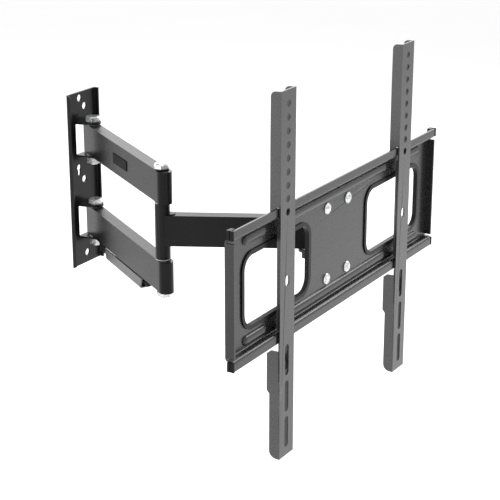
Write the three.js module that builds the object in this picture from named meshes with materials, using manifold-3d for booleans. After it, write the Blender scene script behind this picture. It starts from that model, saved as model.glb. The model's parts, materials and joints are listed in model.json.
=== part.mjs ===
// Full motion television wall mount, millimetres, +Z up.
// The wall plate stands on the wall plane Y = 0 and the television side looks along -Y.
// X = 0 is the middle of the wall plate. Heights below are from the plate's middle, and the whole
// mount is lifted by RISE at the end so that the origin falls on solid metal.
import * as THREE from 'three';
import { mergeVertices } from 'three/addons/utils/BufferGeometryUtils.js';
import Module from 'manifold-3d';

// ---------- driving dimensions ----------
const GAP = 0.3;                 // play left between neighbouring pieces
const SHEET = 3;                 // pressed sheet of the head
const BOLT_R = 5;                // M10 pivot bolts
const BOLT_HOLE_R = 5.3;
const HEX_AF = 17;               // across flats of the M10 hexagons

const WALL_W = 62;               // wall plate
const WALL_H = 236.8;
const WALL_FLANGE = 7.6;
const WALL_T = 2.4;
const WALL_PIVOT_Y = -19.4;
const EAR_HALF = 14.5;           // ears at the root, and the windows they are bent from
const EAR_R = 11;
const EAR_CLEAR = 0.9;           // between an ear and the arm it carries
const WALL_HOLE_R = 4.8;

const ARM_T = 16;                // rear arms
const ARM_WALL = 2.5;
const UPPER_ARM = [36.3, 76.3];  // bottom and top
const LOWER_ARM = [-76.6, -36.4];
const ARM_TAIL = 14.6;           // rear arm runs past the wall pivot

const WALL_PIVOT = [0, WALL_PIVOT_Y];
const ELBOW = [-129, -217.1];
const HEAD = [-46.6, -372.1];

const FRONT_ARM = [-17.6, 20.7];
const TUBE_R = 9.2;
const TUBE_Z = [-34.9, 34.8];

const PLATE_FACE = 37.3;         // plate face ahead of the head pivot
const PLATE_X = -44.3;           // middle of the plate
const PLATE_HALF = 247;
const PLATE_HALF_H = 69;
const PLATE_T = 2.5;
const RAIL_DEPTH = 9;
const RAIL_LIP = 10;
const SCREW_X = 25.4;
const SCREW_Z = 43.4;

const TILT_Y = -22;              // tilt axis ahead of the head pivot
const TILT_R = 3;

const BRACKET_W = 31.7;
const BRACKET_T = 2;
const BRACKET_TOP = 208;
const BRACKET_BOTTOM = -222;
const LEFT_BRACKET_X = -199.1;   // left edges of the two bracket faces
const RIGHT_BRACKET_X = 92.7;
const HOLE_PITCH = 15.18;
const HOLE_COUNT = 9;
const HOLE_DROP = 15.1;
const HOLE_R = 4.2;
const SLOT_R = 4.2;

// ---------- materials ----------
const paint = (color, roughness, metalness) => ({ color, roughness, metalness });
const STEEL = paint(0x3c3d40, 0.42, 0.1);
const DARK_STEEL = paint(0x1e1f21, 0.4, 0.1);
const ZINC = paint(0xc9ccd0, 0.3, 0.9);
const PLASTIC = paint(0x17181a, 0.4, 0.0);
const NYLON = paint(0xd8d6cc, 0.6, 0.0);

// ---------- solids ----------
const RISE = 15;                 // the origin lies this far below the middle of the wall plate

const wasm = await Module();
wasm.setup();

function solid(geometry) {
  const bare = geometry.clone();
  bare.deleteAttribute('normal');
  bare.deleteAttribute('uv');
  const merged = mergeVertices(bare, 1e-4);
  const mesh = new wasm.Mesh({
    numProp: 3,
    vertProperties: new Float32Array(merged.attributes.position.array),
    triVerts: new Uint32Array(merged.index.array),
  });
  return new wasm.Manifold(mesh);
}

function geometryOf(manifold) {
  const mesh = manifold.getMesh();
  const geometry = new THREE.BufferGeometry();
  geometry.setAttribute('position', new THREE.BufferAttribute(new Float32Array(mesh.vertProperties), 3));
  geometry.setIndex(new THREE.BufferAttribute(new Uint32Array(mesh.triVerts), 1));
  geometry.computeVertexNormals();
  return geometry;
}

const X = new THREE.Vector3(1, 0, 0);
const Y = new THREE.Vector3(0, 1, 0);
const Z = new THREE.Vector3(0, 0, 1);

function shapeOf(points) {
  return new THREE.Shape(points.map(([x, y]) => new THREE.Vector2(x, y)));
}

// Outline in the XY plane, from z0 to z1.
function upright(points, z0, z1) {
  const geometry = new THREE.ExtrudeGeometry(shapeOf(points), { depth: z1 - z0, bevelEnabled: false });
  geometry.translate(0, 0, z0);
  return solid(geometry);
}

// Outline given as [x, z], standing between the planes y0 < y1.
function facing(points, y0, y1) {
  const geometry = new THREE.ExtrudeGeometry(shapeOf(points), { depth: y1 - y0, bevelEnabled: false });
  geometry.rotateX(Math.PI / 2);
  geometry.translate(0, y1, 0);
  return solid(geometry);
}

// Outline given as [y, z], running between the planes x0 < x1.
function sideways(points, x0, x1) {
  const geometry = new THREE.ExtrudeGeometry(shapeOf(points), { depth: x1 - x0, bevelEnabled: false });
  geometry.applyMatrix4(new THREE.Matrix4().makeBasis(Y, Z, X));
  geometry.translate(x0, 0, 0);
  return solid(geometry);
}

function box(x0, x1, y0, y1, z0, z1) {
  const geometry = new THREE.BoxGeometry(x1 - x0, y1 - y0, z1 - z0);
  geometry.translate((x0 + x1) / 2, (y0 + y1) / 2, (z0 + z1) / 2);
  return solid(geometry);
}

function cylinder(radius, z0, z1, x, y, sides = 28) {
  const geometry = new THREE.CylinderGeometry(radius, radius, z1 - z0, sides);
  geometry.rotateX(Math.PI / 2);
  geometry.translate(x, y, (z0 + z1) / 2);
  return solid(geometry);
}

function cylinderX(radius, x0, x1, y, z, sides = 24) {
  const geometry = new THREE.CylinderGeometry(radius, radius, x1 - x0, sides);
  geometry.rotateZ(Math.PI / 2);
  geometry.translate((x0 + x1) / 2, y, z);
  return solid(geometry);
}

function cylinderY(radius, y0, y1, x, z, sides = 24) {
  const geometry = new THREE.CylinderGeometry(radius, radius, y1 - y0, sides);
  geometry.translate(x, (y0 + y1) / 2, z);
  return solid(geometry);
}

function hexagonHead(flats, z0, z1, x, y, chamfer = 1, crown = flats / 2 - 0.6) {
  const r = flats / Math.sqrt(3);
  const prism = cylinder(r, z0, z1, x, y, 6);
  const top = [[0, z0 - 1], [r + 1, z0 - 1], [r + 1, z1 - chamfer - 0.6], [crown, z1], [0, z1]];
  const geometry = new THREE.LatheGeometry(top.map(([a, h]) => new THREE.Vector2(a, h)), 24);
  geometry.rotateX(Math.PI / 2);
  geometry.translate(x, y, 0);
  return prism.intersect(solid(geometry));
}

// Chain of straight sheet with rounded bends; returns the closed outline of its section.
function sheetSection(points, thickness, bend, steps = 4) {
  const path = [];
  const unit = (a, b) => {
    const l = Math.hypot(b[0] - a[0], b[1] - a[1]);
    return [(b[0] - a[0]) / l, (b[1] - a[1]) / l];
  };
  points.forEach((p, i) => {
    if (i === 0) {
      path.push([p, unit(p, points[1])]);
      return;
    }
    if (i === points.length - 1) {
      path.push([p, unit(points[i - 1], p)]);
      return;
    }
    const a = unit(points[i - 1], p);
    const b = unit(p, points[i + 1]);
    const turn = Math.atan2(a[0] * b[1] - a[1] * b[0], a[0] * b[0] + a[1] * b[1]);
    const reach = bend * Math.tan(Math.abs(turn) / 2);
    const side = Math.sign(turn);
    const start = [p[0] - a[0] * reach, p[1] - a[1] * reach];
    const centre = [start[0] - a[1] * bend * side, start[1] + a[0] * bend * side];
    for (let k = 0; k <= steps; k += 1) {
      const angle = turn * k / steps;
      const c = Math.cos(angle);
      const s = Math.sin(angle);
      const arm = [start[0] - centre[0], start[1] - centre[1]];
      const at = [centre[0] + arm[0] * c - arm[1] * s, centre[1] + arm[0] * s + arm[1] * c];
      path.push([at, [a[0] * c - a[1] * s, a[0] * s + a[1] * c]]);
    }
  });
  const half = thickness / 2;
  const left = path.map(([p, d]) => [p[0] - d[1] * half, p[1] + d[0] * half]);
  const right = path.map(([p, d]) => [p[0] + d[1] * half, p[1] - d[0] * half]);
  return right.concat(left.reverse());
}

// Slot outline with round ends from a to b.
function capsule(a, b, radius, steps = 10) {
  const along = Math.atan2(b[1] - a[1], b[0] - a[0]);
  const points = [];
  for (const [centre, from] of [[b, along - Math.PI / 2], [a, along + Math.PI / 2]]) {
    for (let k = 0; k <= steps; k += 1) {
      const t = from + Math.PI * k / steps;
      points.push([centre[0] + radius * Math.cos(t), centre[1] + radius * Math.sin(t)]);
    }
  }
  return points;
}

// Rectangle x0..x1 by z0..z1 with round corners.
function roundRect(x0, x1, z0, z1, radius, steps = 6) {
  const points = [];
  const corners = [[x1 - radius, z0 + radius, -90], [x1 - radius, z1 - radius, 0],
    [x0 + radius, z1 - radius, 90], [x0 + radius, z0 + radius, 180]];
  for (const [cx, cz, from] of corners) {
    for (let k = 0; k <= steps; k += 1) {
      const t = (from + 90 * k / steps) * Math.PI / 180;
      points.push([cx + radius * Math.cos(t), cz + radius * Math.sin(t)]);
    }
  }
  return points;
}

// Arc in the YZ plane, degrees measured from +Y towards +Z.
function arcYZ(cy, cz, radius, from, to, steps) {
  const points = [];
  for (let k = 0; k <= steps; k += 1) {
    const t = (from + (to - from) * k / steps) * Math.PI / 180;
    points.push([cy + radius * Math.cos(t), cz + radius * Math.sin(t)]);
  }
  return points;
}

function pointOn(from, to, distance, aside = 0) {
  const l = Math.hypot(to[0] - from[0], to[1] - from[1]);
  const d = [(to[0] - from[0]) / l, (to[1] - from[1]) / l];
  return [from[0] + d[0] * distance - d[1] * aside, from[1] + d[1] * distance + d[0] * aside];
}

const mount = new THREE.Group();
mount.name = 'tv_wall_mount';

function add(name, manifold, finish) {
  const material = new THREE.MeshStandardMaterial(finish);
  material.name = name;
  const geometry = geometryOf(manifold);
  geometry.translate(0, 0, RISE);
  const mesh = new THREE.Mesh(geometry, material);
  mesh.name = name;
  mount.add(mesh);
}

// ---------- wall plate ----------
{
  const w = WALL_W / 2;
  const middle = w - WALL_T / 2;
  const section = sheetSection([[-middle, -WALL_FLANGE], [-middle, -WALL_T / 2], [middle, -WALL_T / 2],
    [middle, -WALL_FLANGE]], WALL_T, 2.2);
  let plate = upright(section, -WALL_H / 2, WALL_H / 2);
  // the left flange has its corners cut round at both ends
  for (const end of [-1, 1]) {
    const z = end * WALL_H / 2;
    const cut = [[-WALL_FLANGE - 1, z + end], [-WALL_FLANGE - 1, z - end * 4]];
    cut.push([-WALL_FLANGE, z - end * 4], [-WALL_FLANGE + 1, z - end * 1.6]);
    cut.push([-WALL_FLANGE + 3, z - end * 0.4], [-WALL_FLANGE + 4.2, z], [-WALL_FLANGE + 4.2, z + end]);
    plate = plate.subtract(sideways(cut.reverse(), -w - 1, -w + WALL_T + 1));
  }
  // each arm sits in a window whose top and bottom tongues are bent out as ears
  const ears = [];
  const nose = capsule([0, WALL_PIVOT_Y + 1], [0, WALL_PIVOT_Y], EAR_R, 14);
  const front = nose.filter(([, y]) => y <= WALL_PIVOT_Y + 1e-6).sort((p, q) => p[0] - q[0]);
  const outline = [[-EAR_HALF, -WALL_T / 2], ...front, [EAR_HALF, -WALL_T / 2]];
  for (const [low, high] of [UPPER_ARM, LOWER_ARM]) {
    const bottom = low - EAR_CLEAR;
    const top = high + EAR_CLEAR;
    plate = plate.subtract(facing(roundRect(-EAR_HALF, EAR_HALF, bottom, top, 1.5, 3), -5, 1));
    for (const z of [top, bottom - WALL_T]) {
      const bore = cylinder(BOLT_HOLE_R, z - 1, z + 5, 0, WALL_PIVOT_Y);
      ears.push(upright(outline, z, z + WALL_T).subtract(bore));
    }
  }
  for (const ear of ears) {
    plate = plate.add(ear);
  }
  for (const [x, z] of [[-4.3, 110.3], [5.7, 98.1], [0.6, -0.9], [1.5, -104.8]]) {
    plate = plate.subtract(cylinderY(WALL_HOLE_R, -5, 1, x, z));
  }
  // keyhole, wide at the top
  plate = plate.subtract(facing(capsule([-10, 8.3], [-10, 17], 2.8, 6), -5, 1));
  plate = plate.subtract(cylinderY(4.4, -5, 1, -10, 17));
  add('wall_plate', plate, STEEL);
}

// ---------- wall pivots ----------
function washer(outer, inner, z0, z1, x, y) {
  return cylinder(outer, z0, z1, x, y).subtract(cylinder(inner, z0 - 1, z1 + 1, x, y));
}

function nut(z0, z1, x, y, flats = HEX_AF, bore = BOLT_HOLE_R) {
  return hexagonHead(flats, z0, z1, x, y, 0.6).subtract(cylinder(bore, z0 - 1, z1 + 1, x, y));
}

for (const [name, [low, high]] of [['upper', UPPER_ARM], ['lower', LOWER_ARM]]) {
  const [x, y] = WALL_PIVOT;
  const earTop = high + EAR_CLEAR + WALL_T;
  const earLow = low - EAR_CLEAR - WALL_T;
  const headBase = earTop + 1.3;
  add(`${name}_wall_bolt`, hexagonHead(HEX_AF, headBase, headBase + 6.4, x, y)
    .add(cylinder(BOLT_R, earLow - 10.4, headBase + 1, x, y)), ZINC);
  add(`${name}_wall_washer`, washer(10.5, BOLT_HOLE_R, earTop + 0.2, earTop + 1.1, x, y), DARK_STEEL);
  add(`${name}_wall_nut`, nut(earLow - 8.2, earLow - 0.2, x, y), ZINC);
  add(`${name}_wall_glide_top`, washer(9.5, BOLT_HOLE_R, high + 0.15, high + 0.75, x, y), NYLON);
  add(`${name}_wall_glide_bottom`, washer(9.5, BOLT_HOLE_R, low - 0.75, low - 0.15, x, y), NYLON);
}

// ---------- rear arms ----------
for (const [name, [low, high]] of [['upper', UPPER_ARM], ['lower', LOWER_ARM]]) {
  const half = ARM_T / 2;
  const inner = half - ARM_WALL;
  // a tube from the square end behind the wall pivot to the round elbow end
  const tube = (reach, radius, z0, z1) => {
    const end = [pointOn(WALL_PIVOT, ELBOW, -reach, -radius), pointOn(WALL_PIVOT, ELBOW, 20, -radius),
      pointOn(WALL_PIVOT, ELBOW, 20, radius), pointOn(WALL_PIVOT, ELBOW, -reach, radius)];
    return upright(capsule(WALL_PIVOT, ELBOW, radius), z0, z1).add(upright(end, z0, z1));
  };
  let arm = tube(ARM_TAIL, half, low, high)
    .subtract(tube(ARM_TAIL - ARM_WALL, inner + 0.2, low + ARM_WALL, high - ARM_WALL));
  for (const [x, y] of [WALL_PIVOT, ELBOW]) {
    arm = arm.subtract(cylinder(BOLT_HOLE_R, low - 1, high + 1, x, y));
  }
  add(`${name}_arm`, arm, STEEL);

  // the end cap is a sleeve round the elbow end with a solid nose
  const capStart = pointOn(WALL_PIVOT, ELBOW, Math.hypot(...ELBOW.map((v, i) => v - WALL_PIVOT[i])) + 3.5);
  const nose = pointOn(ELBOW, WALL_PIVOT, -8);
  const far = pointOn(ELBOW, WALL_PIVOT, 40);
  const behind = [pointOn(capStart, ELBOW, 60, -30), pointOn(capStart, ELBOW, 60, 30),
    pointOn(capStart, ELBOW, 0, 30), pointOn(capStart, ELBOW, 0, -30)];
  const cap = upright(capsule(ELBOW, nose, half + 1.3), low + 0.2, high - 0.2)
    .subtract(upright(capsule(far, ELBOW, half + 0.3), low - 1, high + 1))
    .subtract(upright(behind, low - 1, high + 1));
  add(`${name}_elbow_cap`, cap, PLASTIC);
}

// ---------- blank label and cable cover on the rear arms ----------
{
  const aside = ARM_T / 2 + 0.1;
  const [from, to] = [94, 140];
  const corners = [pointOn(ELBOW, WALL_PIVOT, from, aside), pointOn(ELBOW, WALL_PIVOT, to, aside),
    pointOn(ELBOW, WALL_PIVOT, to, aside + 0.8), pointOn(ELBOW, WALL_PIVOT, from, aside + 0.8)];
  add('arm_label_plate', upright(corners, 49.5, 62.4), PLASTIC);
}

// Open channel hung under the lower arm, walls upwards.
const COVER_FROM = 54;           // distances from the elbow
const COVER_TO = 187;
const COVER_TOP = LOWER_ARM[0] - 2.8;
const COVER_DEEP = 14.6;
const COVER_HALF = 7.4;
const COVER_T = 1.8;
const COVER_SLANT = 8;
{
  const runX = (WALL_PIVOT[0] - ELBOW[0]) / Math.hypot(WALL_PIVOT[0] - ELBOW[0], WALL_PIVOT[1] - ELBOW[1]);
  const runY = (WALL_PIVOT[1] - ELBOW[1]) / Math.hypot(WALL_PIVOT[0] - ELBOW[0], WALL_PIVOT[1] - ELBOW[1]);
  const along = new THREE.Vector3(runX, runY, 0);
  const across = new THREE.Vector3(-runY, runX, 0);
  // outline [across, z] swept along the arm between two distances from the elbow
  const swept = (points, from, to) => {
    const geometry = new THREE.ExtrudeGeometry(shapeOf(points), { depth: to - from, bevelEnabled: false });
    geometry.applyMatrix4(new THREE.Matrix4().makeBasis(across, Z, along));
    geometry.translate(ELBOW[0] + runX * from, ELBOW[1] + runY * from, 0);
    return solid(geometry);
  };
  // outline [distance from the elbow, z] thickened between two places across the arm
  const flat = (points, from, to) => {
    const geometry = new THREE.ExtrudeGeometry(shapeOf(points), { depth: to - from, bevelEnabled: false });
    geometry.applyMatrix4(new THREE.Matrix4().makeBasis(along, Z, across.clone().negate()));
    geometry.translate(ELBOW[0] + across.x * to, ELBOW[1] + across.y * to, 0);
    return solid(geometry);
  };
  const low = COVER_TOP - COVER_DEEP;
  const side = COVER_HALF - COVER_T / 2;
  const section = sheetSection([[side, COVER_TOP], [side, low + COVER_T / 2], [-side, low + COVER_T / 2],
    [-side, COVER_TOP]], COVER_T, 1.6, 3);
  // both ends are cut back towards the floor of the channel
  const wallSlant = [[COVER_TO - COVER_SLANT, low - 1], [COVER_TO + 1, low - 1],
    [COVER_TO + 1, COVER_TOP + 1], [COVER_TO - 1, COVER_TOP + 1]];
  const elbowSlant = [[COVER_FROM - 1, low - 1], [COVER_FROM + COVER_SLANT, low - 1],
    [COVER_FROM + 1, COVER_TOP + 1], [COVER_FROM - 1, COVER_TOP + 1]];
  const channel = swept(section, COVER_FROM, COVER_TO);
  add('cable_cover', channel.subtract(flat(wallSlant, -20, 20)).subtract(flat(elbowSlant, -20, 20)), STEEL);

  // the elbow-end clip has a foot against the arm and two barbs inside the channel
  const top = LOWER_ARM[0] - 0.2;
  const barbed = [[-5.2, top], [-5.2, COVER_TOP + 0.2], [-2.6, COVER_TOP + 0.2], [-2.6, COVER_TOP - 2.2],
    [-5, COVER_TOP - 2.6], [-3.4, COVER_TOP - 8], [3.4, COVER_TOP - 8], [5, COVER_TOP - 2.6],
    [2.6, COVER_TOP - 2.2], [2.6, COVER_TOP + 0.2], [5.2, COVER_TOP + 0.2], [5.2, top]];
  add('cable_clip_elbow_end', swept(barbed, 47, 62), PLASTIC);
  // the wall-end clip is a strap that hooks the end of the near wall
  const strap = [[COVER_TO + 19, top], [COVER_TO + 17.5, top - 11], [COVER_TO + 4, top - 12],
    [COVER_TO + 0.6, top - 8], [COVER_TO + 0.6, top]];
  const foot = [[-5.2, top - 2.4], [COVER_HALF - 1, top - 2.4], [COVER_HALF - 1, top], [-5.2, top]];
  const clip = flat(strap, COVER_HALF - 2.4, COVER_HALF).add(swept(foot, COVER_TO + 8, COVER_TO + 19));
  add('cable_clip_wall_end', clip, PLASTIC);
}

// ---------- elbow pivot ----------
{
  const [x, y] = ELBOW;
  const top = UPPER_ARM[1];
  const bottom = LOWER_ARM[0];
  add('elbow_washer_top', washer(9.2, BOLT_HOLE_R, top + 0.2, top + 1.4, x, y), DARK_STEEL);
  add('elbow_bolt', hexagonHead(HEX_AF, top + 1.6, top + 8, x, y, 2.2, 6.2)
    .add(cylinder(BOLT_R, bottom - 7.6, top + 2, x, y)), ZINC);
  add('elbow_nut', nut(bottom - 7, bottom - 0.3, x, y), ZINC);
  for (const [name, face, seat, inside] of [['top', UPPER_ARM[0] - 0.2, TUBE_Z[1] + 0.2, TUBE_Z[1] - 12],
    ['bottom', LOWER_ARM[1] + 0.2, TUBE_Z[0] - 0.2, TUBE_Z[0] + 12]]) {
    const flange = cylinder(TUBE_R, Math.min(face, seat), Math.max(face, seat), x, y);
    const sleeve = cylinder(6.8, Math.min(inside, seat), Math.max(inside, seat) + 0.1, x, y);
    const bush = flange.add(sleeve).subtract(cylinder(BOLT_HOLE_R, -60, 60, x, y));
    add(`elbow_bush_${name}`, bush, NYLON);
  }
}

// ---------- front arm: elbow tube with a welded box beam ----------
{
  const [low, high] = FRONT_ARM;
  const start = pointOn(ELBOW, HEAD, 4);
  const pocket = pointOn(ELBOW, HEAD, 18);
  let arm = upright(capsule(start, HEAD, ARM_T / 2, 12), low, high)
    .add(cylinder(TUBE_R, TUBE_Z[0], TUBE_Z[1], ELBOW[0], ELBOW[1], 40));
  const bead = pointOn(ELBOW, HEAD, TUBE_R);
  arm = arm.add(upright([pointOn(ELBOW, HEAD, 3, 8.9), pointOn(ELBOW, HEAD, 13, 8),
    pointOn(ELBOW, HEAD, 13, -8), pointOn(ELBOW, HEAD, 3, -8.9)], low, high));
  arm = arm.add(upright(capsule(bead, pointOn(ELBOW, HEAD, TUBE_R + 0.5), 6), high - 1, high + 1.2));
  arm = arm.subtract(cylinder(7.1, TUBE_Z[0] - 1, TUBE_Z[1] + 1, ELBOW[0], ELBOW[1]));
  const cavity = capsule(pocket, HEAD, ARM_T / 2 - ARM_WALL + 0.2);
  arm = arm.subtract(upright(cavity, low + ARM_WALL, high - ARM_WALL));
  arm = arm.subtract(cylinder(BOLT_HOLE_R, low - 1, high + 2, HEAD[0], HEAD[1]));
  add('front_arm', arm, STEEL);
}

// ---------- head: swivel yoke on the front arm ----------
const YOKE_EAR_HALF = 14;
const YOKE_HALF = 24;
const YOKE_WEB = [-15, -12];
{
  const [hx, hy] = HEAD;
  const [low, high] = FRONT_ARM;
  const topEar = [high + 1.6, high + 1.6 + SHEET];
  const lowEar = [low - 1.6 - SHEET, low - 1.6];
  add('head_glide_top', washer(9.5, BOLT_HOLE_R, high + 0.2, high + 1.4, hx, hy), NYLON);
  add('head_glide_bottom', washer(9.5, BOLT_HOLE_R, low - 1.4, low - 0.2, hx, hy), NYLON);
  add('head_bolt', hexagonHead(HEX_AF, topEar[1] + 0.2, topEar[1] + 6.8, hx, hy)
    .add(cylinder(BOLT_R, lowEar[0] - 9, topEar[1] + 0.5, hx, hy)), DARK_STEEL);
  add('head_nut', nut(lowEar[0] - 8, lowEar[0] - 0.2, hx, hy), DARK_STEEL);

  const nose = capsule([hx, hy], [hx, hy + 1], 12).filter(([, y]) => y >= hy - 1e-6);
  const root = hy + YOKE_WEB[0] + 1;
  const ear = [...nose.sort((p, q) => p[0] - q[0]), [hx + YOKE_EAR_HALF, root], [hx - YOKE_EAR_HALF, root]];
  let yoke = facing(roundRect(hx - YOKE_HALF, hx + YOKE_HALF, lowEar[0], topEar[1], 2, 3),
    hy + YOKE_WEB[0], hy + YOKE_WEB[1]);
  for (const [z0, z1] of [topEar, lowEar]) {
    yoke = yoke.add(upright(ear, z0, z1).subtract(cylinder(BOLT_HOLE_R, z0 - 1, z1 + 1, hx, hy)));
  }
  // cheeks carry the tilt axis
  const tiltY = hy + TILT_Y;
  const cheek = [[hy + YOKE_WEB[1], 20], ...arcYZ(tiltY, 0, 8.6, 115, 245, 12), [hy + YOKE_WEB[1], -20]];
  for (const side of [-1, 1]) {
    const x0 = hx + side * (YOKE_HALF - SHEET / 2) - SHEET / 2;
    yoke = yoke.add(sideways(cheek, x0, x0 + SHEET));
  }
  yoke = yoke.subtract(cylinderX(TILT_R + 0.3, hx - 30, hx + 30, tiltY, 0));
  add('swivel_yoke', yoke, DARK_STEEL);
}

// ---------- tilt bracket behind the television plate ----------
const TILT_CHEEK = 26;           // inner face of the tilt cheeks
const PLATE_Y = HEAD[1] - PLATE_FACE;
{
  const [hx, hy] = HEAD;
  const webBack = PLATE_Y + PLATE_T + 0.3 + SHEET;
  let bracket = facing(roundRect(hx - 35, hx + 35, -53, 53, 6, 4), webBack - SHEET, webBack);
  const cheek = [[webBack - 1, 22], ...arcYZ(hy + TILT_Y, 0, 8, 80, -80, 10), [webBack - 1, -22]];
  for (const side of [-1, 1]) {
    const x0 = side > 0 ? hx + TILT_CHEEK : hx - TILT_CHEEK - SHEET;
    bracket = bracket.add(sideways(cheek, x0, x0 + SHEET));
    for (const z of [-SCREW_Z, SCREW_Z]) {
      bracket = bracket.subtract(cylinderY(3.3, webBack - 5, webBack + 2, hx + side * SCREW_X, z));
    }
  }
  bracket = bracket.subtract(cylinderX(TILT_R + 0.3, hx - 40, hx + 40, hy + TILT_Y, 0));
  add('tilt_bracket', bracket, DARK_STEEL);

  for (const [name, side] of [['left', -1], ['right', 1]]) {
    const at = (a, b) => (side > 0 ? [hx + a, hx + b] : [hx - b, hx - a]);
    const rod = (radius, a, b, sides) => cylinderX(radius, ...at(a, b), hy + TILT_Y, 0, sides);
    const outer = TILT_CHEEK + SHEET;
    const bolt = rod(TILT_R, 13.4, outer + 1, 20).add(rod(6.6, outer + 0.3, outer + 5, 6));
    add(`tilt_bolt_${name}`, bolt, DARK_STEEL);
    add(`tilt_friction_washer_${name}`, rod(8, YOKE_HALF + 0.2, TILT_CHEEK - 0.2, 24)
      .subtract(rod(TILT_R + 0.3, 10, 40, 20)), NYLON);
    add(`tilt_nut_${name}`, rod(5.7, 14.6, 20.7, 6).subtract(rod(TILT_R + 0.3, 10, 40, 20)), ZINC);
  }
}

// ---------- television plate: pressed tray with two outward rails ----------
const WINDOW_AT = 143;           // window middles either side of the plate's middle
const WINDOW_HALF = 70.5;        // clear opening inside the edge trim
const WINDOW_Z = [-42.5, 38];
const WINDOW_R = 16;
const TRIM_T = 1.3;

// Window outline around the middle mid, grown by a margin.
function windowOutline(mid, margin, steps = 8) {
  const half = WINDOW_HALF + margin;
  const [low, high] = WINDOW_Z;
  return roundRect(mid - half, mid + half, low - margin, high + margin, WINDOW_R + margin, steps);
}

// Long rounded bulge lying along X, its middle on the plane y.
function bulge(x0, x1, y, z, radius, rise) {
  const geometry = new THREE.CapsuleGeometry(radius, x1 - x0 - 2 * radius, 5, 16);
  geometry.rotateZ(Math.PI / 2);
  geometry.scale(1, rise / radius, 1);
  geometry.translate((x0 + x1) / 2, y, z);
  return solid(geometry);
}

{
  const y = PLATE_Y;
  const t = PLATE_T;
  const h = PLATE_HALF_H;
  const railY = y - RAIL_DEPTH + t / 2;
  const section = sheetSection([[railY, -h - RAIL_LIP], [railY, -h + t / 2], [y + t / 2, -h + t / 2],
    [y + t / 2, h - t / 2], [railY, h - t / 2], [railY, h + RAIL_LIP]], t, 3.1, 5);
  let plate = sideways(section, PLATE_X - PLATE_HALF, PLATE_X + PLATE_HALF);
  for (const side of [-1, 1]) {
    // end flange, clear of the rails at its corners
    const end = PLATE_X + side * PLATE_HALF;
    const [x0, x1] = [end, end - side * t].sort((p, q) => p - q);
    plate = plate.add(box(x0, x1, y - RAIL_DEPTH, y + t / 2, -h + 4.5, h - 4.5));
    const mid = PLATE_X + side * WINDOW_AT;
    plate = plate.subtract(facing(windowOutline(mid, TRIM_T + 0.3), y - 3, y + 9));
    for (const z of [-SCREW_Z, SCREW_Z]) {
      plate = plate.subtract(cylinderY(3.4, y - 3, y + 6, HEAD[0] + side * SCREW_X, z));
    }
  }
  // pressed stiffening ribs above and below the windows, hollow behind
  for (const z of [-57.5, 57.5]) {
    for (const [from, to] of [[-216, -168], [-123, 123], [168, 216]]) {
      plate = plate.add(bulge(PLATE_X + from, PLATE_X + to, y + 0.2, z, 5.8, 3.6));
      plate = plate.subtract(bulge(PLATE_X + from + 1.8, PLATE_X + to - 1.8, y + t, z, 4, 3.9));
    }
  }
  add('tv_plate', plate, STEEL);

  // black trim pushed on to the edge of each window
  for (const [name, side] of [['left', -1], ['right', 1]]) {
    const mid = PLATE_X + side * WINDOW_AT;
    const front = y - 0.3 - TRIM_T;
    const back = y + t + 0.3 + TRIM_T;
    const trim = facing(windowOutline(mid, 5), front, front + TRIM_T)
      .add(facing(windowOutline(mid, 4.4), back - TRIM_T, back))
      .add(facing(windowOutline(mid, TRIM_T), front, back))
      .subtract(facing(windowOutline(mid, 0), front - 1, back + 1));
    add(`window_trim_${name}`, trim, PLASTIC);
  }

  let index = 1;
  for (const z of [SCREW_Z, -SCREW_Z]) {
    for (const side of [-1, 1]) {
      const geometry = new THREE.LatheGeometry([[0, -8.5], [3, -8.5], [3, 0], [7, 0], [7, 0.9], [6.2, 2],
        [4.6, 2.9], [2.4, 3.4], [0, 3.6]].map(([r, a]) => new THREE.Vector2(r, a)), 24);
      geometry.rotateZ(Math.PI);
      geometry.translate(HEAD[0] + side * SCREW_X, y - 0.2, z);
      add(`plate_screw_${index}`, solid(geometry), ZINC);
      index += 1;
    }
  }

  // plastic plugs close the four rail ends
  for (const [vertical, up] of [['top', 1], ['bottom', -1]]) {
    for (const [horizontal, side] of [['left', -1], ['right', 1]]) {
      const end = PLATE_X + side * PLATE_HALF;
      const span = (a, b) => [end + side * a, end + side * b].sort((p, q) => p - q);
      const tall = (a, b) => [up * a, up * b].sort((p, q) => p - q);
      const plug = box(...span(0.3, 1.7), y - RAIL_DEPTH - 0.6, y - 0.8, ...tall(h - 0.4, h + RAIL_LIP + 0.6))
        .add(box(...span(-7, 1), y - RAIL_DEPTH + t + 0.3, y - 0.8, ...tall(h + 2.1, h + RAIL_LIP + 0.6)))
        .subtract(box(...span(1.1, 2.5), y - 5.6, y - 4.4, ...tall(h - 3, h + RAIL_LIP + 3)))
        .subtract(box(...span(-5.4, -0.2), y - 5.2, y - 2, ...tall(h - 3, h + RAIL_LIP - 1)));
      add(`rail_cap_${vertical}_${horizontal}`, plug, PLASTIC);
    }
  }
}

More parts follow.
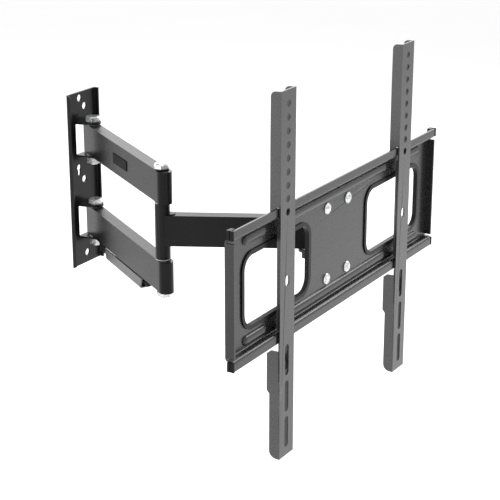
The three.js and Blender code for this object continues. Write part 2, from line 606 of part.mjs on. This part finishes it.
// ---------- television brackets hooked over the rails ----------
for (const [name, x0] of [['left', LEFT_BRACKET_X], ['right', RIGHT_BRACKET_X]]) {
  const face = PLATE_Y - RAIL_DEPTH - 0.6 - BRACKET_T;
  const x1 = x0 + BRACKET_W;
  const mid = (x0 + x1) / 2;
  const h = PLATE_HALF_H;
  const back = face + 13.6;
  const lip = face + BRACKET_T + 0.1;
  const foot = arcYZ(back - 9, BRACKET_BOTTOM + 9, 9, 0, -90, 5);
  const crown = arcYZ(back - 6, BRACKET_TOP - 6, 5.6, 90, 0, 4);
  const wall = [[face, BRACKET_BOTTOM], [face, BRACKET_TOP], ...crown, [back, 158]];
  // hook over the upper rail
  wall.push([back, h + 1.4], [face + 5.4, h + 1.4]);
  wall.push([face + 5.4, h + RAIL_LIP + 0.8], [lip, h + RAIL_LIP + 0.8]);
  wall.push([lip, 64], [face + 4.6, 61], [face + 4.6, -61], [lip, -64], [lip, -89]);
  // deeper tab below the lower rail for the locking screw
  wall.push([face + 12, -89], [face + 17, -93], [face + 17, -138], [back, -142], ...foot);
  let bracket = box(x0, x1, face, face + BRACKET_T, BRACKET_BOTTOM, BRACKET_TOP);
  bracket = bracket.add(sideways(wall, x0, x0 + BRACKET_T)).add(sideways(wall, x1 - BRACKET_T, x1));
  for (let i = 0; i < HOLE_COUNT; i += 1) {
    const z = BRACKET_TOP - HOLE_DROP - i * HOLE_PITCH;
    bracket = bracket.subtract(cylinderY(HOLE_R, face - 1, face + 4, mid, z, 18));
  }
  for (const [low, high] of [[-15, -2], [-122, -84.5], [-167, -128.2], [-211.4, -172.8]]) {
    const slot = capsule([mid, low + SLOT_R], [mid, high - SLOT_R], SLOT_R, 7);
    bracket = bracket.subtract(facing(slot, face - 1, face + 4));
  }
  add(`${name}_bracket`, bracket, STEEL);

  // a block riveted inside the channel carries the screw that locks the hook
  const lockY = PLATE_Y - RAIL_DEPTH + PLATE_T + 3.3;
  const block = box(x0 + BRACKET_T + 0.3, x1 - BRACKET_T - 0.3, face + BRACKET_T + 0.3, back + 1, -116, -106)
    .subtract(cylinder(2.9, -120, -100, mid, lockY, 20));
  add(`${name}_lock_block`, block, DARK_STEEL);
  const screw = cylinder(2.5, -128, -72, mid, lockY, 20).add(cylinder(5, -131, -126, mid, lockY, 6));
  add(`${name}_lock_screw`, screw, ZINC);
}

export default mount;
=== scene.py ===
# Looks of the full motion television wall mount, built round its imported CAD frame.
import json
import math

import bpy
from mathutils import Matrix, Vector

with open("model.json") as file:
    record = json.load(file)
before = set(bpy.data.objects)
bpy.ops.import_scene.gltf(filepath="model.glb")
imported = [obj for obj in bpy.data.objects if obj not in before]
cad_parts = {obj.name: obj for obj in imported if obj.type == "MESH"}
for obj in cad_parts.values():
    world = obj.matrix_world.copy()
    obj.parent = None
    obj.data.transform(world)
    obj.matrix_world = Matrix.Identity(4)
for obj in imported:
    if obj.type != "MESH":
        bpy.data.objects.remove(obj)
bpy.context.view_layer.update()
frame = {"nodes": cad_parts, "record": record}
nodes = frame["nodes"]

MM = 0.001


# ---------- node material helpers ----------
def new_material(name):
    material = bpy.data.materials.new(name)
    material.use_nodes = True
    tree = material.node_tree
    tree.nodes.clear()
    output = tree.nodes.new("ShaderNodeOutputMaterial")
    shader = tree.nodes.new("ShaderNodeBsdfPrincipled")
    tree.links.new(shader.outputs["BSDF"], output.inputs["Surface"])
    return material, tree, shader


def node(tree, kind, inputs=None, **settings):
    made = tree.nodes.new(kind)
    for key, value in settings.items():
        setattr(made, key, value)
    for key, value in (inputs or {}).items():
        if isinstance(value, bpy.types.NodeSocket):
            tree.links.new(value, made.inputs[key])
        else:
            made.inputs[key].default_value = value
    return made


def object_space(tree):
    return node(tree, "ShaderNodeTexCoord").outputs["Object"]


def noise(tree, space, scale, detail=3.0, roughness=0.5):
    return node(tree, "ShaderNodeTexNoise", {"Vector": space, "Scale": scale, "Detail": detail,
                                             "Roughness": roughness}).outputs["Fac"]


def ramp(tree, value, stops):
    made = node(tree, "ShaderNodeValToRGB", {"Fac": value})
    elements = made.color_ramp.elements
    while len(elements) < len(stops):
        elements.new(0.5)
    for element, (position, colour) in zip(elements, stops):
        element.position = position
        if not isinstance(colour, tuple):
            colour = (colour, colour, colour)
        element.color = (*colour, 1.0)
    return made.outputs["Color"]


def math_node(tree, operation, a, b=0.0):
    made = node(tree, "ShaderNodeMath", operation=operation)
    for socket, value in zip(made.inputs, (a, b)):
        if isinstance(value, bpy.types.NodeSocket):
            tree.links.new(value, socket)
        else:
            socket.default_value = value
    return made.outputs[0]


def bump(tree, height, strength, distance):
    return node(tree, "ShaderNodeBump", {"Height": height, "Strength": strength,
                                         "Distance": distance}).outputs["Normal"]


def powder_coat(name, dark, light, rough_low=0.34, rough_high=0.46, grain=0.3, shine=0.5):
    """Satin powder coat: faint mottling, orange-peel and a fine sandy grain."""
    material, tree, shader = new_material(name)
    space = object_space(tree)
    mottle = noise(tree, space, 34.0, 4.0, 0.6)
    speck = noise(tree, space, 2600.0, 2.0, 0.6)
    peel = noise(tree, space, 700.0, 3.0, 0.55)
    tone = math_node(tree, "ADD", math_node(tree, "MULTIPLY", mottle, 0.55),
                     math_node(tree, "MULTIPLY", speck, 0.45))
    colour = ramp(tree, tone, [(0.34, dark), (0.68, light)])
    tree.links.new(colour, shader.inputs["Base Color"])
    rough = node(tree, "ShaderNodeMapRange", {"Value": peel, "From Min": 0.3, "From Max": 0.7,
                                              "To Min": rough_low, "To Max": rough_high})
    tree.links.new(rough.outputs["Result"], shader.inputs["Roughness"])
    height = math_node(tree, "ADD", math_node(tree, "MULTIPLY", peel, 0.6),
                       math_node(tree, "MULTIPLY", speck, 0.4))
    tree.links.new(bump(tree, height, grain, 0.0002), shader.inputs["Normal"])
    shader.inputs["Metallic"].default_value = 0.0
    shader.inputs["Specular IOR Level"].default_value = shine
    return material


def zinc_plate(name):
    """Bright zinc plating: cloudy passivation and faint drawing marks."""
    material, tree, shader = new_material(name)
    space = object_space(tree)
    cloud = noise(tree, space, 420.0, 4.0, 0.6)
    mark = noise(tree, space, 1500.0, 3.0, 0.6)
    colour = ramp(tree, cloud, [(0.36, (0.42, 0.43, 0.45)), (0.60, (0.90, 0.91, 0.92))])
    tree.links.new(colour, shader.inputs["Base Color"])
    rough = node(tree, "ShaderNodeMapRange", {"Value": cloud, "From Min": 0.3, "From Max": 0.7,
                                              "To Min": 0.24, "To Max": 0.38})
    tree.links.new(rough.outputs["Result"], shader.inputs["Roughness"])
    tree.links.new(bump(tree, mark, 0.25, 0.0002), shader.inputs["Normal"])
    shader.inputs["Metallic"].default_value = 0.9
    return material


def moulded_plastic(name, dark, light, rough_low=0.3, rough_high=0.42, shine=0.5):
    """Injection-moulded plastic with a fine spark texture."""
    material, tree, shader = new_material(name)
    space = object_space(tree)
    tone = noise(tree, space, 60.0, 3.0, 0.55)
    spark = noise(tree, space, 1800.0, 2.0, 0.6)
    tree.links.new(ramp(tree, tone, [(0.3, dark), (0.7, light)]), shader.inputs["Base Color"])
    rough = node(tree, "ShaderNodeMapRange", {"Value": spark, "From Min": 0.3, "From Max": 0.7,
                                              "To Min": rough_low, "To Max": rough_high})
    tree.links.new(rough.outputs["Result"], shader.inputs["Roughness"])
    tree.links.new(bump(tree, spark, 0.15, 0.0001), shader.inputs["Normal"])
    shader.inputs["Specular IOR Level"].default_value = shine
    return material


# Satin powder coat, one paint in several tones. Each piece's tone is set lighter or darker to match how
# light it looks in the rest view, so the differences between pieces are painted light and shade.
ARM_PAINT = powder_coat("paint_rear_arms", 0.006, 0.010, 0.24, 0.34, shine=0.25)
FRONT_PAINT = powder_coat("paint_front_arm", 0.004, 0.008, 0.24, 0.32, shine=0.2)
WALL_PAINT = powder_coat("paint_wall_plate", 0.006, 0.010, 0.26, 0.36, shine=0.2)
PLATE_PAINT = powder_coat("paint_tv_plate", 0.009, 0.015, 0.22, 0.32, shine=0.6)
BRACKET_PAINT = powder_coat("paint_brackets", 0.030, 0.046, 0.24, 0.34, shine=0.75)
COVER_PAINT = powder_coat("paint_cable_cover", 0.050, 0.075, 0.28, 0.38, shine=0.8)
DARK = powder_coat("paint_black", 0.008, 0.014, shine=0.4)
ZINC = zinc_plate("zinc")
PLASTIC = moulded_plastic("plastic_black", 0.003, 0.006, 0.28, 0.36, shine=0.18)
CAP_PLASTIC = moulded_plastic("plastic_black_polished", 0.002, 0.005, 0.12, 0.18, shine=0.2)
LABEL_PLASTIC = moulded_plastic("plastic_black_label", 0.002, 0.004, 0.3, 0.4, shine=0.04)
NYLON = moulded_plastic("nylon", 0.45, 0.55)

PAINT_OF = {"upper_arm": ARM_PAINT, "lower_arm": ARM_PAINT, "front_arm": FRONT_PAINT,
            "wall_plate": WALL_PAINT, "left_bracket": BRACKET_PAINT, "right_bracket": BRACKET_PAINT,
            "cable_cover": COVER_PAINT}
SLOT_MATERIALS = {"black_paint": DARK, "zinc": ZINC, "black_plastic": PLASTIC, "nylon": NYLON}
SLOT_OF = {s["node"]: s["material_slot"] for s in frame["record"]["subparts"]}


def material_for(name, slot):
    if name.endswith("elbow_cap"):
        return CAP_PLASTIC
    if name == "arm_label_plate":
        return LABEL_PLASTIC
    if slot == "satin_paint":
        return PAINT_OF.get(name, PLATE_PAINT)
    return SLOT_MATERIALS[slot]


def set_material(obj, material):
    obj.data.materials.clear()
    obj.data.materials.append(material)


# ---------- looks of the carried-over CAD nodes ----------
FLAT_DEGREES = 1.0               # faces flatter than this are merged before the bevel
SHARP_DEGREES = 32               # edges sharper than this are bevelled
BRACKET_BEVEL_MM = 0.8
BEVEL_MM = {"satin_paint": 0.55, "black_paint": 0.4, "zinc": 0.45, "black_plastic": 0.6, "nylon": 0.15}
for name, obj in nodes.items():
    slot = SLOT_OF[name]
    set_material(obj, material_for(name, slot))
    planar = obj.modifiers.new("planar", "DECIMATE")
    planar.decimate_type = "DISSOLVE"
    planar.angle_limit = math.radians(FLAT_DEGREES)
    bevel = obj.modifiers.new("bevel", "BEVEL")
    bevel.width = (BRACKET_BEVEL_MM if name.endswith("_bracket") else BEVEL_MM[slot]) * MM
    bevel.segments = 2
    bevel.limit_method = "ANGLE"
    bevel.angle_limit = math.radians(SHARP_DEGREES)
    bevel.harden_normals = True
    for polygon in obj.data.polygons:
        polygon.use_smooth = True


# ---------- floor, light and camera ----------
def stage_material(name, colour):
    material, tree, shader = new_material(name)
    space = object_space(tree)
    tone = noise(tree, space, 3.0, 2.0, 0.5)
    tree.links.new(ramp(tree, tone, [(0.3, colour * 0.99), (0.7, colour)]), shader.inputs["Base Color"])
    shader.inputs["Roughness"].default_value = 0.9
    return material


CAMERA_AT = Vector((-1.5583, -1.2067, 0.590))
AZIMUTH = math.radians(58.754)
PITCH = math.radians(19.077)
FOCAL_PX = 1524.36
IMAGE_PX = 500
SENSOR_MM = 36.0
FLOOR_SIZE = 30
FLOOR_Z = -0.46
bpy.ops.mesh.primitive_plane_add(size=FLOOR_SIZE, location=(0, 0, FLOOR_Z))
floor = bpy.context.object
floor.name = "floor"
set_material(floor, stage_material("floor_pale", 0.97))


def area_light(name, location, target, size, power):
    data = bpy.data.lights.new(name, "AREA")
    data.shape = "RECTANGLE"
    data.size, data.size_y = size
    data.energy = power
    obj = bpy.data.objects.new(name, data)
    bpy.context.scene.collection.objects.link(obj)
    obj.location = location
    obj.rotation_euler = (Vector(target) - Vector(location)).to_track_quat("-Z", "Y").to_euler()


CENTRE = (-0.04, -0.25, 0.0)
area_light("top_softbox", (-0.3, -0.5, 2.0), CENTRE, (2.0, 1.6), 10)
# skims the upward faces, which the camera sees at a shallow angle
area_light("back_softbox", (1.85, 0.90, 1.15), CENTRE, (2.6, 1.5), 22)
# reflected to the camera by the rounded upper edges of the rails and lips
area_light("edge_softbox", (1.74, -0.97, 1.08), CENTRE, (1.1, 0.7), 13)
# upright strip that lights the elbow tube and its caps from the left
area_light("left_strip", (-0.92, 0.17, 0.05), (-0.13, -0.217, 0.0), (0.05, 0.7), 0.9)

world = bpy.data.worlds.new("studio")
bpy.context.scene.world = world
world.use_nodes = True
world.node_tree.nodes["Background"].inputs["Color"].default_value = (1, 1, 1, 1)
world.node_tree.nodes["Background"].inputs["Strength"].default_value = 1.0

camera_data = bpy.data.cameras.new("camera")
camera_data.sensor_width = SENSOR_MM
camera_data.lens = FOCAL_PX / IMAGE_PX * SENSOR_MM
camera = bpy.data.objects.new("camera", camera_data)
bpy.context.scene.collection.objects.link(camera)
look = Vector((math.sin(AZIMUTH) * math.cos(PITCH), math.cos(AZIMUTH) * math.cos(PITCH), -math.sin(PITCH)))
camera.location = CAMERA_AT
camera.rotation_euler = look.to_track_quat("-Z", "Y").to_euler()
bpy.context.scene.camera = camera
bpy.context.scene.view_settings.view_transform = "Standard"
